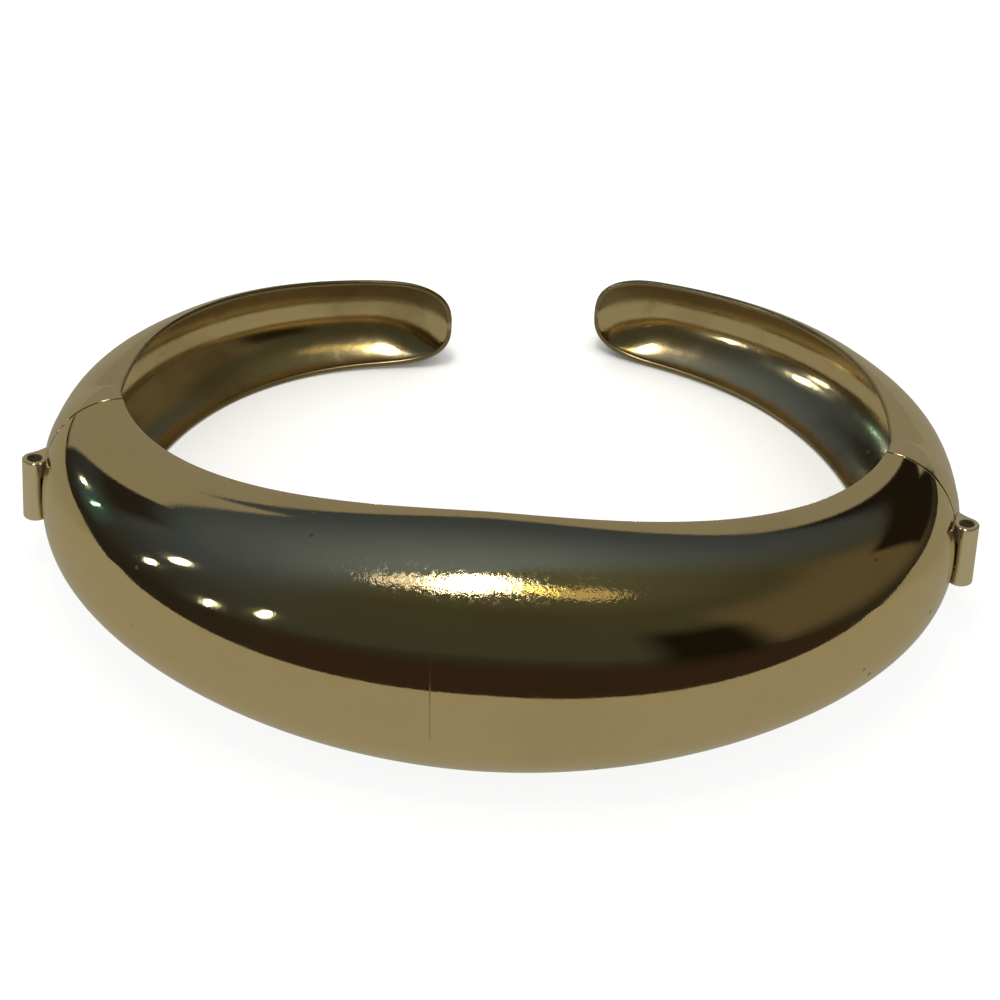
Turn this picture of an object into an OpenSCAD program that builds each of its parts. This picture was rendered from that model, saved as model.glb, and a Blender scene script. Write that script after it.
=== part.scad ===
// Hinged bangle of polished brass sheet: a wide puffed front section and two
// tapering arms, each swinging outward on a rolled barrel hinge at its seam.
// It lies on the lower edge of the front and on the lower rims of both arms.

/* [Wrist opening] */
// Width of the wrist opening at its widest line
opening_w = 58; // [54:0.5:62]
// Depth of the opening from its widest line to the front
opening_front = 20; // [18:0.2:23]
// Depth of the opening from its widest line to the back
opening_back = 27.2; // [25:0.1:31]
// Thickness of the brass sheet
sheet = 0.65; // [0.6:0.05:0.8]

/* [Front section] */
// Height of the front section at its centre
front_h = 19.8; // [17:0.2:24]
// How far the front section stands out from the wrist at its centre
front_out = 9.9; // [8:0.1:11]

/* [Seams] */
// Height of the section at each seam
seam_h = 14.2; // [13:0.2:16]
// How far the section stands out at each seam
seam_out = 6.2; // [5.6:0.1:7]
// How far forward of the widest line each seam lies, as an angle of the outline
seam_angle = 11.3; // [8:0.1:14]
// Gap between the butted ends of the front section and an arm
seam_gap = 0.12; // [0.08:0.02:0.16]

/* [Arms] */
// Height of each arm near its tip
tip_h = 7.55; // [6:0.05:9]
// How far each arm stands out near its tip
tip_out = 2.7; // [2.2:0.1:3.4]
// Length over which a tip is rounded off
tip_round = 5; // [4:0.1:8]
// Distance of the left tip from the middle of the back, before the arm is curled
left_tip_x = 7.55; // [5:0.05:10]
// Distance of the right tip from the middle of the back, before the arm is curled
right_tip_x = 4; // [3:0.1:10]
// How far the left arm is curled in towards the wrist, in degrees
left_curl = 3.5; // [0:0.05:5]
// How far the right arm is curled in towards the wrist, in degrees
right_curl = -3.35; // [-5:0.05:0]

/* [Hinges] */
// Length of each rolled barrel
barrel_len = 5; // [4.6:0.1:5.6]
// Outer diameter of each rolled barrel
barrel_d = 1.9; // [1.8:0.05:2.1]
// How far each hinge axis lies outside the surface of the seam
axis_out = 0.6; // [0.5:0.02:0.66]
// Diameter of the hidden hinge pin
pin_d = 0.8; // [0.7:0.02:0.84]
// How far each arm swings open, in degrees
swing = 28; // [20:1:30]

/* [Hidden] */

half_w = opening_w / 2;
brass = [0.78, 0.69, 0.50];
steel = [0.62, 0.62, 0.60];

// Outline of the opening: a superellipse whose two exponents set how flat it
// is across the front or back and how tightly it turns at the sides.
front_flat = 2.22;
front_turn = 1.7;
back_flat = 2.48;
back_turn = 2.31;
// The cross-section of the sheet is a superellipse too.
section_round = 2.2;

// Stations along each piece and steps across its section.
front_steps = 48;
arm_steps = 24;
tip_steps = 8;
ring_steps = 14;

function signed_pow(v, e) = sign(v) * pow(abs(v), e);

// Point of the outline at an angle: 0 on the right, negative towards the front.
function outline(a) =
    let (front = sin(a) < 0)
    let (depth = front ? opening_front : opening_back)
    let (flat = front ? front_flat : back_flat)
    let (turn = front ? front_turn : back_turn)
    [half_w * signed_pow(cos(a), 2 / flat), depth * signed_pow(sin(a), 2 / turn)];

// Outward direction of the outline at the same angle.
function outward(a) =
    let (front = sin(a) < 0)
    let (depth = front ? opening_front : opening_back)
    let (flat = front ? front_flat : back_flat)
    let (turn = front ? front_turn : back_turn)
    let (p = outline(a))
    let (v = [flat * signed_pow(p.x / half_w, flat - 1) / half_w,
              turn * signed_pow(p.y / depth, turn - 1) / depth])
    v / norm(v);

function turned(p, a) = [p.x * cos(a) - p.y * sin(a), p.x * sin(a) + p.y * cos(a)];

// The right-hand seam and hinge; the left-hand ones are its mirror image.
seam_at = outline(-seam_angle);
seam_out_dir = outward(-seam_angle);
seam_back_dir = [-seam_out_dir.y, seam_out_dir.x];
hinge_at = seam_at + seam_out_dir * (seam_out + axis_out);
hinge_turn = atan2(seam_out_dir.y, seam_out_dir.x);

// One line of points across the sheet: from the lower rim over the outside to
// the upper rim, for a half height and a stand-out at a place on the outline.
function section(at, dir, half_h, out, flat = section_round, open = section_round) =
    [for (j = [0 : ring_steps])
        let (t = -90 + 180 * j / ring_steps)
        let (r = out * pow(abs(cos(t)), 2 / open))
        let (z = half_h * signed_pow(sin(t), 2 / flat))
        [at.x + dir.x * r, at.y + dir.y * r, z]];

// The front section swells from each seam to its centre: it rises slowly at
// first in height, and stands out further at once.
rise_start = 1.25;
rise_crown = 1.56;
swell_power = 0.88;
function front_section(i, inset) =
    let (s = i / front_steps)
    let (a = -180 + seam_angle + s * (180 - 2 * seam_angle))
    let (rise = pow(1 - pow(abs(cos(180 * s)), rise_crown), rise_start))
    let (swell = pow(sin(180 * s), swell_power))
    let (half_h = (seam_h + (front_h - seam_h) * rise) / 2)
    let (out = seam_out + (front_out - seam_out) * swell)
    let (side = s < 0.5 ? -1 : 1)
    let (back = i == 0 || i == front_steps ? -seam_gap / 2 : 0)
    let (step = [side * seam_back_dir.x, seam_back_dir.y] * back)
    section(outline(a) + step, outward(a), half_h - inset, out - inset);

// An arm, as the right-hand one: it tapers from the seam to a rounded tip.
arm_taper = 1.25;
tip_square = 2.8;
// Away from the seam its section opens from a half tube into a shallow arc.
arm_open = 1.2;
arm_flat = 2;
arm_change = 0.5;
function arm_end(tip_x) = acos(pow(tip_x / half_w, back_flat / 2));
function arm_length(tip_x) =
    let (a = [for (i = [0 : arm_steps]) -seam_angle + i / arm_steps * (arm_end(tip_x) + seam_angle)])
    let (steps = [for (i = [1 : arm_steps]) norm(outline(a[i]) - outline(a[i - 1]))])
    steps * [for (v = steps) 1];
function arm_section(i, inset, tip_x, curl) =
    let (len = arm_length(tip_x))
    let (share = tip_round / len)
    let (s = i < arm_steps ? (1 - share) * i / arm_steps
                           : 1 - share + share * sin(90 * (i - arm_steps) / tip_steps))
    let (q = max(0, (s - 1 + share) / share))
    let (rounding = i == arm_steps + tip_steps ? 0 : pow(1 - pow(q, tip_square), 1 / tip_square))
    let (u = s * (1 - inset / len))
    let (a = -seam_angle + u * (arm_end(tip_x) + seam_angle))
    let (half_h = ((seam_h + (tip_h - seam_h) * (1 - pow(1 - u, arm_taper))) / 2 - inset) * rounding)
    let (out = (seam_out + (tip_out - seam_out) * u - inset) * sqrt(1 - pow(q, 2)))
    let (m = min(1, u / arm_change))
    let (change = m * m * (3 - 2 * m))
    let (step = seam_back_dir * (i == 0 ? seam_gap / 2 : 0))
    let (swung = curl * u * u)
    let (at = hinge_at + turned(outline(a) + step - hinge_at, swung))
    section(at, turned(outward(a), swung), half_h, out,
            section_round + (arm_flat - section_round) * change,
            section_round + (arm_open - section_round) * change);

// The lines of each shell, as it is drawn before the bangle is laid down.
function front_lines(inset) = [for (i = [0 : front_steps]) front_section(i, inset)];
function arm_lines(inset, tip_x, curl) =
    [for (i = [0 : arm_steps + tip_steps]) arm_section(i, inset, tip_x, curl)];
function flipped(p) = [-p.x, p.y, p.z];

// The bangle rests on the lowest point of its front and of each arm. Each round
// looks for those three points again along the last plane through them.
front_points = [for (line = front_lines(0)) each line];
right_points = [for (line = arm_lines(0, right_tip_x, right_curl)) each line];
left_points = [for (line = arm_lines(0, left_tip_x, left_curl)) for (p = line) flipped(p)];
function lowest(points, down) =
    let (depths = [for (p = points) p * down])
    points[search(max(depths), depths)[0]];
function settled(down, rounds) =
    rounds == 0 ? down :
    let (a = lowest(front_points, down))
    let (v = cross(lowest(right_points, down) - a, lowest(left_points, down) - a))
    settled(-v / norm(v), rounds - 1);
down = settled([0, 0, -1], 6);
rest_tilt = atan2(down.y, -down.z);
rest_roll = atan2(down.x, norm([down.y, down.z]));
rest_lift = lowest(front_points, down) * down;
function laid_y(p) = p.y * cos(rest_tilt) + p.z * sin(rest_tilt);
rest_middle = (min([for (p = front_points) laid_y(p)]) + max([for (p = right_points) laid_y(p)])) / 2;

// Triangles of a four-cornered patch, without those that a shared corner empties.
function full(t) = t[0] != t[1] && t[1] != t[2] && t[2] != t[0];
function patch(a, b, c, d) = [for (t = [[a, b, c], [a, c, d]]) if (full(t)) t];

// A wall between an outer and an inner set of lines. A pointed wall ends in the
// one point that its last line shrinks to, and any other end is closed flat.
module wall(outer, inner, pointed) {
    n = len(outer);
    m = ring_steps + 1;
    base = n * m;
    points = concat([for (line = outer) each line], [for (line = inner) each line]);
    function corner(i, j) = i * m + (pointed && i == n - 1 ? 0 : j);
    skin = [for (i = [0 : n - 2], j = [0 : m - 2])
        each patch(corner(i, j), corner(i, j + 1), corner(i + 1, j + 1), corner(i + 1, j))];
    lining = [for (t = skin) [t[0] + base, t[2] + base, t[1] + base]];
    rims = [for (i = [0 : n - 2]) each concat(
        patch(corner(i, 0), corner(i + 1, 0), base + corner(i + 1, 0), base + corner(i, 0)),
        patch(corner(i, m - 1), base + corner(i, m - 1),
              base + corner(i + 1, m - 1), corner(i + 1, m - 1)))];
    first_end = [for (j = [0 : m - 2])
        each patch(corner(0, j), base + corner(0, j), base + corner(0, j + 1), corner(0, j + 1))];
    last_end = pointed ? [] : [for (j = [0 : m - 2])
        each patch(corner(n - 1, j), corner(n - 1, j + 1),
                   base + corner(n - 1, j + 1), base + corner(n - 1, j))];
    polyhedron(points, concat(skin, lining, rims, first_end, last_end));
}

// Puts what is drawn round a hinge axis at the right-hand hinge: X points away
// from the wrist and Y along the arm, square to the seam.
module at_hinge() {
    translate([hinge_at.x, hinge_at.y, 0]) rotate([0, 0, hinge_turn]) children();
}

module rod(d, len) {
    cylinder(d = d, h = len, center = true, $fn = 48);
}

// Sizes of the barrel hinge, from its middle outwards.
eye_d = pin_d + 0.4;
eye_len = 2.2;
window_d = eye_d + 0.1;
window_len = eye_len + 0.2;
collar_len = 1;
mouth_d = 1;
run_gap = 0.08;
barrel_gap = 0.16;
cut = 1;

// The part of a ring between two directions, as a wedge wide enough to cut it.
module slice(from, to, reach, len) {
    linear_extrude(len, center = true)
        polygon([[0, 0], for (k = [0 : 4]) let (a = from + (to - from) * k / 4)
            reach * [cos(a), sin(a)]]);
}

// The sheet of an arm rolled outwards into a barrel, with the web that joins it.
module barrel() {
    rod(barrel_d, barrel_len);
    web_foot = -axis_out - sheet * 0.9;
    web_end = [-axis_out - 0.8, 2.4];
    linear_extrude(barrel_len, center = true)
        polygon([[web_foot, seam_gap / 2], [barrel_d * 0.29, barrel_d * 0.39], web_end]);
}

// What is cut out of a barrel: both open mouths, the collars that grip the pin,
// and the window in which the eye of the front section turns.
neck_dir = 200;
neck_w = 0.4;
window_from = neck_dir - 24;
window_to = neck_dir + swing + 24;
module barrel_bore() {
    rod(pin_d, barrel_len + cut);
    rod(window_d, window_len);
    slice(window_from, window_to, barrel_d, window_len);
    for (end = [-1, 1])
        translate([0, 0, end * (window_len / 2 + collar_len / 2 + barrel_len / 2)])
            rod(mouth_d, barrel_len);
}

// The eye of the front section, on the neck that holds it.
module eye() {
    difference() {
        union() {
            rod(eye_d, eye_len);
            rotate([0, 0, neck_dir])
                translate([eye_d / 4, -neck_w / 2, -eye_len / 2])
                    cube([axis_out + sheet * 0.9 - eye_d / 4, neck_w, eye_len]);
        }
        rod(pin_d + run_gap, eye_len + cut);
    }
}

module arm(tip_x, curl) {
    difference() {
        union() {
            wall(arm_lines(0, tip_x, curl), arm_lines(sheet, tip_x, curl), true);
            at_hinge() barrel();
        }
        at_hinge() barrel_bore();
    }
}

// Lies the bangle down on the surface, with its box centred over the origin.
module rest() {
    translate([0, -rest_middle, rest_lift]) rotate([-rest_tilt, rest_roll, 0]) children();
}

module both_sides() {
    children();
    mirror([1, 0, 0]) children();
}

module front_shell() {
    color(brass) rest() {
        difference() {
            wall(front_lines(0), front_lines(sheet), false);
            both_sides() at_hinge() rod(barrel_d + 2 * barrel_gap, barrel_len + 2 * barrel_gap);
        }
        both_sides() at_hinge() eye();
    }
}

module left_arm() {
    color(brass) rest() mirror([1, 0, 0]) arm(left_tip_x, left_curl);
}

module right_arm() {
    color(brass) rest() arm(right_tip_x, right_curl);
}

module left_hinge_pin() {
    color(steel) rest() mirror([1, 0, 0]) at_hinge() rod(pin_d, window_len + collar_len * 0.9);
}

module right_hinge_pin() {
    color(steel) rest() at_hinge() rod(pin_d, window_len + collar_len * 0.9);
}

front_shell();
left_arm();
right_arm();
left_hinge_pin();
right_hinge_pin();
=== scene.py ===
"""Looks of the hinged bangle: polished brass sheet, rolled hinge barrels, floor, lights and camera."""

import math

import bmesh
import bpy
from mathutils import Matrix, Vector


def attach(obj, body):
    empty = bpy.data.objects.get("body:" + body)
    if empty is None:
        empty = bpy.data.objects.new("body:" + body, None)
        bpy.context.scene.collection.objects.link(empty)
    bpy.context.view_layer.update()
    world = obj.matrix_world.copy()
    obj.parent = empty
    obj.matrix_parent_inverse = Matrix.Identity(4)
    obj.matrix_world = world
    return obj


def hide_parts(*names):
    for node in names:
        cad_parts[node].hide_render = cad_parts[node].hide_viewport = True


bl_info = {
    "name": "Hinged bangle",
    "version": (1, 0, 0),
    "blender": (4, 5, 0),
    "location": "View3D > Sidebar > Bangle",
    "description": "Dresses the packed hinged bangle in polished brass and sets its stage",
    "category": "Object",
}

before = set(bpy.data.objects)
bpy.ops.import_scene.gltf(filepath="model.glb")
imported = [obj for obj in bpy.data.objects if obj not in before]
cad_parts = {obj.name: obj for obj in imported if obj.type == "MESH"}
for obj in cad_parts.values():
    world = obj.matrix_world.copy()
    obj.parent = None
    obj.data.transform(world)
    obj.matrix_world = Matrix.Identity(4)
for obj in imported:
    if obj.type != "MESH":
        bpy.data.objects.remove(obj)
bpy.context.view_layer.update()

MM = 0.001
ARMS = {"left_arm": -1, "right_arm": 1}


def length(name, description, default_mm, low_mm, high_mm):
    """A length property, stated in millimetres."""
    return bpy.props.FloatProperty(name=name, description=description, default=default_mm * MM,
                                   min=low_mm * MM, max=high_mm * MM, unit="LENGTH", precision=5)


def degrees(name, description, default, low, high):
    """An angle property, stated in degrees."""
    return bpy.props.FloatProperty(name=name, description=description, default=math.radians(default),
                                   min=math.radians(low), max=math.radians(high), subtype="ANGLE")


def share(name, description, default, low=0.0, high=1.0):
    """A plain number between two limits."""
    return bpy.props.FloatProperty(name=name, description=description, default=default,
                                   min=low, max=high, subtype="FACTOR" if high == 1.0 else "NONE")


def colour(name, description, default):
    """A colour property."""
    return bpy.props.FloatVectorProperty(name=name, description=description, default=default,
                                         size=3, min=0, max=1, subtype="COLOR")


class BangleSizes(bpy.types.PropertyGroup):
    """Sizes of the sheet and of the hinges, the same as in the part's source."""

    opening_w: length("Opening width", "Width of the wrist opening", 58, 54, 62)
    opening_front: length("Opening front", "Depth from the widest line to the front", 20, 18, 23)
    opening_back: length("Opening back", "Depth from the widest line to the back", 27.2, 25, 31)
    sheet: length("Sheet", "Thickness of the brass sheet", 0.65, 0.6, 0.8)
    edge: length("Rim rounding", "Radius that polishing left on the rims", 0.25, 0.02, 0.3)
    seam_edge: length("Seam rounding", "Radius that polishing left on the butted ends", 0.05, 0.02, 0.2)
    front_h: length("Front height", "Height of the front at its centre", 19.8, 17, 24)
    front_out: length("Front swell", "How far the front stands out at its centre", 9.9, 8, 11)
    seam_h: length("Seam height", "Height of the section at a seam", 14.2, 13, 16)
    seam_out: length("Seam swell", "How far the section stands out at a seam", 6.2, 5.6, 7)
    seam_angle: degrees("Seam angle", "How far forward of the widest line a seam lies", 11.3, 8, 14)
    seam_gap: length("Seam gap", "Gap between the butted ends", 0.12, 0.08, 0.16)
    tip_h: length("Tip height", "Height of an arm near its tip", 7.55, 6, 9)
    tip_out: length("Tip swell", "How far an arm stands out near its tip", 2.7, 2.2, 3.4)
    tip_round: length("Tip rounding", "Length over which a tip is rounded off", 5, 4, 8)
    left_tip_x: length("Left tip", "Left tip from the middle, before the curl", 7.55, 5, 10)
    right_tip_x: length("Right tip", "Right tip from the middle, before the curl", 4, 3, 10)
    left_curl: degrees("Left curl", "How far the left arm is bent in", 3.5, 0, 5)
    right_curl: degrees("Right curl", "How far the right arm is bent in", -3.35, -5, 0)
    barrel_len: length("Barrel length", "Length of each rolled barrel", 5, 4.6, 5.6)
    barrel_d: length("Barrel diameter", "Outer diameter of each rolled barrel", 1.9, 1.8, 2.1)
    barrel_gap: length("Barrel gap", "Clearance of the front round each barrel", 0.16, 0.08, 0.3)
    axis_out: length("Axis stand-out", "Hinge axis outside the seam's surface", 0.6, 0.5, 0.66)
    pin_d: length("Pin diameter", "Diameter of the hidden hinge pin", 0.8, 0.7, 0.84)
    rest_tilt: degrees("Resting tilt", "How far the bangle leans back as it lies", 7.16947, 0, 12)
    rest_roll: degrees("Resting roll", "How far it leans to the side as it lies", -0.339408, -3, 3)
    rest_lift: length("Resting lift", "Height of its middle above the surface", 7.32637, 5, 10)
    rest_middle: length("Resting middle", "Middle of its box behind the widest line", 0.357793, -1, 1)


class BangleFinish(bpy.types.PropertyGroup):
    """Colours and gloss of the metals."""

    brass: colour("Brass", "Colour of the polished brass", (0.80, 0.63, 0.34))
    tarnish: colour("Tarnish", "Colour of the thin brown tarnish", (0.36, 0.25, 0.12))
    cut_edge: colour("Cut edge", "Colour of the sheet's cut edges", (0.40, 0.33, 0.22))
    # The pins' colour is far darker than steel's, as painted shade in the bore.
    steel: colour("Steel", "Colour of the hinge pins", (0.06, 0.035, 0.025))
    gloss: share("Roughness", "Roughness of the polished brass", 0.035)
    scuff: share("Scuffing", "Strength of the fine scuffs", 0.6)


class BangleStage(bpy.types.PropertyGroup):
    """Camera and light."""

    distance: length("Distance", "Camera distance from the bangle's middle", 280, 100, 900)
    elevation: degrees("Elevation", "Camera above the bangle's own plane", 30.795, 5, 85)
    azimuth: degrees("Azimuth", "Camera to the right of the front", 2.058, -180, 180)
    pan: degrees("Pan", "Camera turned to its right", -0.012, -10, 10)
    tilt: degrees("Tilt", "Camera turned up", -0.217, -10, 10)
    roll: degrees("Roll", "Camera rolled", 2.976, -10, 10)
    focal: share("Focal length", "Lens in millimetres on a 36 mm sensor", 131.97, 20.0, 300.0)
    floor: colour("Floor", "Colour of the pale floor", (0.93, 0.93, 0.92))


# Shape of the sheet

# Powers that round the outline ahead and behind, and the section.
FRONT_FLAT, FRONT_TURN = 2.22, 1.7
BACK_FLAT, BACK_TURN = 2.48, 2.31
SECTION_ROUND = 2.2
# How the front grows from a seam to its centre, and how an arm tapers and ends.
RISE_START, RISE_CROWN, SWELL_POWER = 1.25, 1.56, 0.88
ARM_TAPER, TIP_SQUARE = 1.25, 2.8
# An arm's section opens into an arc of these powers by this share of its length.
ARM_OPEN, ARM_FLAT, ARM_CHANGE = 1.2, 2.0, 0.5
# The arms' sheet as it looks, the share of the length by which it is so thin, and its hollow at the tip.
ARM_THICK, THIN_BY = 0.45 * MM, 1 / 6
TIP_SPOON, TIP_RIM = 1.9, 0.6
# Stations across the front and an arm, and rows round their walls.
FRONT_STEPS, FRONT_ROWS = 180, 56
ARM_STEPS, TIP_STEPS, ARM_ROWS = 96, 26, 44
# Steps in which an arm's length is measured.
LONG_STEPS = 24
# Places of the first stations, in millimetres from a seam.
FRONT_PLAIN = (0.08, 0.14, 0.22, 0.32, 0.45, 0.6, 0.75, 0.85, 0.93, 1.0, 1.05, 1.1, 1.14, 1.25, 1.4, 1.7)
ARM_PLAIN = (0.2, 0.5, 0.8)
# How much further from the seam than the last of those the even stations start.
FRONT_NEXT, ARM_NEXT = 1.25, 1.3
# The search for a place near a seam: how far it goes, as a share of the length, and its halvings.
SEARCH_TO, HALVINGS = 0.1, 40
# Points that are nearer to each other than this become one, and shorter edges go.
SAME_POINT, SLIVER = 2e-7, 1e-7
# Edges that turn by more degrees than this look sharp, on the sheet and on a barrel.
SHARP, BARREL_SHARP = 48, 38
# Arcs over a rim, in degrees, and the one from which the rim counts as a cut edge.
RIM_ARCS, CUT_ARC = (30, 60, 90), 50
# The most that a rim's rounding takes of the section's stand-out, and of an arm's thickness.
RIM_OF_OUT, RIM_OF_SHEET = 0.3, 0.45
# Kinds of station: plain sheet, the rounded edge of a butted end, and the one that closes it.
PLAIN, ROUNDED, CLOSED = 0, 1, 2
# How dark an arm's rims are made, in a darker brown, and how dark the painted shade is high inside it,
# and where the latter starts and is full.
RIM_DARK, HIGH_DARK = 0.6, 0.85
HIGH_FROM, HIGH_FULL = 8, 30


def signed_pow(v, e):
    """Power of a number that keeps its sign."""
    return math.copysign(abs(v) ** e, v)


def eased(v):
    """A share from 0 to 1 with a smooth start and end."""
    v = min(1.0, max(0.0, v))
    return v * v * (3 - 2 * v)


def turned(p, a):
    """A point of the plan turned about the origin."""
    return Vector((p.x * math.cos(a) - p.y * math.sin(a), p.x * math.sin(a) + p.y * math.cos(a)))


def outline(z, a):
    """Point of the wrist opening's outline, and its outward direction, at an angle from the right."""
    ahead = math.sin(a) < 0
    depth = z.opening_front if ahead else z.opening_back
    flat = FRONT_FLAT if ahead else BACK_FLAT
    turn = FRONT_TURN if ahead else BACK_TURN
    half = z.opening_w / 2
    x = half * signed_pow(math.cos(a), 2 / flat)
    y = depth * signed_pow(math.sin(a), 2 / turn)
    away = Vector((flat * signed_pow(x / half, flat - 1) / half,
                   turn * signed_pow(y / depth, turn - 1) / depth))
    return Vector((x, y)), away.normalized()


def hinge(z):
    """The right-hand hinge: its axis, the direction away from the wrist and the one along the arm."""
    at, away = outline(z, -z.seam_angle)
    return at + away * (z.seam_out + z.axis_out), away, Vector((-away.y, away.x))


def resting(z):
    """The move that lays the bangle down on the floor."""
    return (Matrix.Translation((0, -z.rest_middle, z.rest_lift))
            @ Matrix.Rotation(z.rest_roll, 4, "Y") @ Matrix.Rotation(-z.rest_tilt, 4, "X"))


def placed(z, side):
    """The move that lays a right-hand piece down, or its mirror image for side -1."""
    return resting(z) @ Matrix.Diagonal((side, 1, 1, 1))


def front_station(z, s):
    """Outline point, outward direction, half height and stand-out at a share of the front's length."""
    a = -math.pi + z.seam_angle + s * (math.pi - 2 * z.seam_angle)
    at, away = outline(z, a)
    rise = (1 - abs(math.cos(math.pi * s)) ** RISE_CROWN) ** RISE_START
    swell = max(0.0, math.sin(math.pi * s)) ** SWELL_POWER
    return (at, away, (z.seam_h + (z.front_h - z.seam_h) * rise) / 2,
            z.seam_out + (z.front_out - z.seam_out) * swell)


def tip_turn(z, tip_x):
    """Angle of an arm's tip from the right."""
    return math.acos((tip_x / (z.opening_w / 2)) ** (BACK_FLAT / 2))


def arm_station(z, s, tip_x, curl, long, inset):
    """The same of an arm, as the right-hand one, with how its tip is rounded and its section bent."""
    last = z.tip_round / long
    q = min(1.0, max(0.0, (s - 1 + last) / last))
    rounding = (1 - q ** TIP_SQUARE) ** (1 / TIP_SQUARE)
    u = s * (1 - inset / long)
    at, away = outline(z, -z.seam_angle + u * (tip_turn(z, tip_x) + z.seam_angle))
    axis = hinge(z)[0]
    at = axis + turned(at - axis, curl * u * u)
    half_h = (z.seam_h + (z.tip_h - z.seam_h) * (1 - (1 - u) ** ARM_TAPER)) / 2
    out = z.seam_out + (z.tip_out - z.seam_out) * u
    opened = eased(u / ARM_CHANGE)
    bend = [SECTION_ROUND + (there - SECTION_ROUND) * opened for there in (ARM_FLAT, ARM_OPEN)]
    return at, turned(away, curl * u * u), half_h, out, rounding, math.sqrt(1 - q * q), bend


def arm_long(z, tip_x):
    """Length of an arm along the opening."""
    sweep = tip_turn(z, tip_x) + z.seam_angle
    steps = [outline(z, -z.seam_angle + i / LONG_STEPS * sweep)[0] for i in range(LONG_STEPS + 1)]
    return sum((b - a).length for a, b in zip(steps, steps[1:]))


def rim_rows(turn, first, then):
    """Rows over a rim, from one side of the sheet to the other."""
    return [(first, turn, f) for f in RIM_ARCS] + [(then, turn, f) for f in reversed(RIM_ARCS)]


def section_rows(steps, extra=()):
    """Rows round the wall: the outside, the upper rim, back along the inside, the lower rim."""
    turns = sorted([-90 + 180 * j / steps for j in range(steps + 1)] + list(extra))
    rows = [("outer", t, 0) for t in turns] + rim_rows(90, "outer", "inner")
    rows += [("inner", t, 0) for t in reversed(turns)] + rim_rows(-90, "inner", "outer")
    return rows + rows[:1]


def wall_point(outer, inner, row, edge, inset, bend=(SECTION_ROUND, SECTION_ROUND)):
    """Stand-out and height of a row's point, for the half height and stand-out of both sides."""
    side, turn, arc = row
    half_h, out = outer if side == "outer" else inner
    sign = 1 if side == "outer" else -1
    half_h, out = half_h - sign * inset, out - sign * inset
    c = min(edge, RIM_OF_OUT * max(out, 0.0))
    t, f = math.radians(turn), math.radians(arc)
    if arc:
        height = math.copysign(half_h - sign * c * (1 - math.cos(f)), turn)
        return inset + c * (1 - math.sin(f)), height
    r = inset + c + max(0.0, out - inset - c) * abs(math.cos(t)) ** (2 / bend[1])
    return r, half_h * signed_pow(math.sin(t), 2 / bend[0])


# What a sheet's points carry for its brass: cut edge, inside, and a darkening that is painted shade in
# the barrels' grooves and high inside the arms, and a darker brown on the arms' rims.
LAYERS = ("cut_edge", "inside", "groove")


def bent_sheet(stations, rows, point, dark=lambda share_now, row: 0.0):
    """A wall bent from one grid, whose points lie at a share of its length and in a row round it."""
    bm = bmesh.new()
    bmesh.ops.create_grid(bm, x_segments=len(stations) - 1, y_segments=len(rows) - 1, size=0.5)
    cut, within, painted_shade = [bm.verts.layers.float.new(name) for name in LAYERS]
    for v in bm.verts:
        share_now, inset, kind = stations[round((v.co.x + 0.5) * (len(stations) - 1))]
        row = rows[round((v.co.y + 0.5) * (len(rows) - 1))]
        if kind == CLOSED:
            outer, inner = [point(share_now, (side, row[1], 0), inset) for side in ("outer", "inner")]
            v.co = (outer + inner) / 2
        else:
            v.co = point(share_now, row, inset)
        # Share of painted shade at this point, or of darker brown on an arm's rim.
        v[painted_shade] = float(dark(share_now, row))
        v[cut] = 1.0 if row[2] > CUT_ARC or kind != PLAIN else 0.0
        v[within] = 1.0 if row[0] == "inner" else 0.0
    return bm


def smooth_but_sharp(bm, limit=SHARP):
    """Smooths a mesh but for the edges that turn by more than a limit."""
    for e in bm.edges:
        e.smooth = not (e.is_manifold and e.calc_face_angle(0.0) > math.radians(limit))
    for f in bm.faces:
        f.smooth = True


def new_object(name, bm):
    """Makes an object of a finished mesh."""
    mesh = bpy.data.meshes.new(name)
    bm.to_mesh(mesh)
    bm.free()
    obj = bpy.data.objects.new(name, mesh)
    bpy.context.scene.collection.objects.link(obj)
    return obj


def closed_object(name, bm, move=Matrix()):
    """Merges, closes and smooths a mesh, moves it into place and makes its object."""
    bmesh.ops.transform(bm, matrix=move, verts=bm.verts)
    bmesh.ops.remove_doubles(bm, verts=bm.verts, dist=SAME_POINT)
    bmesh.ops.dissolve_degenerate(bm, edges=bm.edges, dist=SLIVER)
    open_edges = [e for e in bm.edges if len(e.link_faces) == 1]
    if open_edges:
        raise RuntimeError(f"{name} has {len(open_edges)} open edges")
    bmesh.ops.recalc_face_normals(bm, faces=bm.faces)
    smooth_but_sharp(bm)
    return new_object(name, bm)


def even_shading(obj):
    """Keeps the wide faces' shading from leaning over the narrow edges."""
    mod = obj.modifiers.new("Even shading", "WEIGHTED_NORMAL")
    mod.keep_sharp = True
    return obj


def share_at(point_at, far):
    """Share of a piece's length that lies a distance from its seam."""
    low, high = 0.0, SEARCH_TO
    for _ in range(HALVINGS):
        middle = (low + high) / 2
        if (point_at(middle) - point_at(0)).length < far:
            low = middle
        else:
            high = middle
    return low


def seam_stations(z, point_at, plain):
    """Stations at a seam: share, inset and kind."""
    half_gap, edge = z.seam_gap / 2, z.seam_edge
    found = [(share_at(point_at, half_gap), edge, CLOSED)]
    for f in (*reversed(RIM_ARCS), 0):
        far, inset = [edge * (1 - part(math.radians(f))) for part in (math.sin, math.cos)]
        found.append((share_at(point_at, half_gap + far), inset, ROUNDED if f else PLAIN))
    return found + [(share_at(point_at, half_gap + e * MM), 0.0, PLAIN) for e in plain]


def at_hinge(z):
    """The move from the right-hand hinge's own place to the bangle's."""
    axis, away = hinge(z)[:2]
    turn = Matrix.Rotation(math.atan2(away.y, away.x), 4, "Z")
    return Matrix.Translation((axis.x, axis.y, 0)) @ turn


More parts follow.
